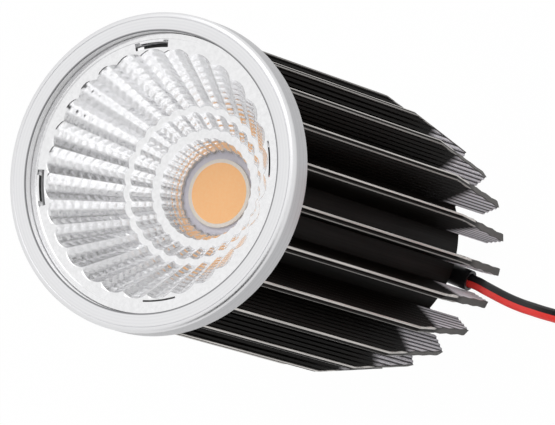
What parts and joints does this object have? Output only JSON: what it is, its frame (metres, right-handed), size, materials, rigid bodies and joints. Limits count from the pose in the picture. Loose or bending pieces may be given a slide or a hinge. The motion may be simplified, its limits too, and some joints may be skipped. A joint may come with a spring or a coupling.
{
  "type": "cob led spotlight module",
  "caption": "Spotlight module: a chip-on-board light source behind a fluted reflector and satin front ring, cooled by a long finned heatsink, with a red and black lead.",
  "frame": {"origin": "centre of the rear plane, in which the rear ends of the fins lie", "axes": "+Z along the optical axis, the way the light shines; -Y towards the side where the lead leaves"},
  "size_m": [0.0535, 0.0856, 0.084],
  "materials": {
    "black_anodised": "black anodised extrusion, satin",
    "satin_aluminium": "turned, satin silver",
    "metallised_plastic": "vacuum metallised, bright",
    "board_aluminium": "white solder mask",
    "dam_silicone": "cream silicone",
    "phosphor_silicone": "orange-yellow phosphor in silicone, smooth",
    "die_sapphire": "polished",
    "solder": "bright tin",
    "thermal_silicone": "matt",
    "white_plastic": "moulded",
    "screw_steel": "zinc plated",
    "red_pvc": "soft PVC, satin",
    "black_pvc": "soft PVC, satin",
    "sleeve_rubber": "black shrink tube",
    "tie_plastic": "coated tie"
  },
  "bodies": {
    "root": {"heatsink": "black_anodised", "front_ring": "satin_aluminium", "reflector": "metallised_plastic", "cob_board": "board_aluminium", "cob_dam": "dam_silicone", "cob_phosphor": "phosphor_silicone", "led_dies": "die_sapphire", "solder_joints": "solder", "thermal_pad": "thermal_silicone", "cob_holder": "white_plastic", "holder_screws": "screw_steel", "red_wire": "red_pvc", "black_wire": "black_pvc", "lead_sleeve": "sleeve_rubber", "twin_lead": "red_pvc", "lead_coil": "red_pvc", "coil_tie": "tie_plastic", "tinned_ends": "solder"}
  },
  "joints": []
}
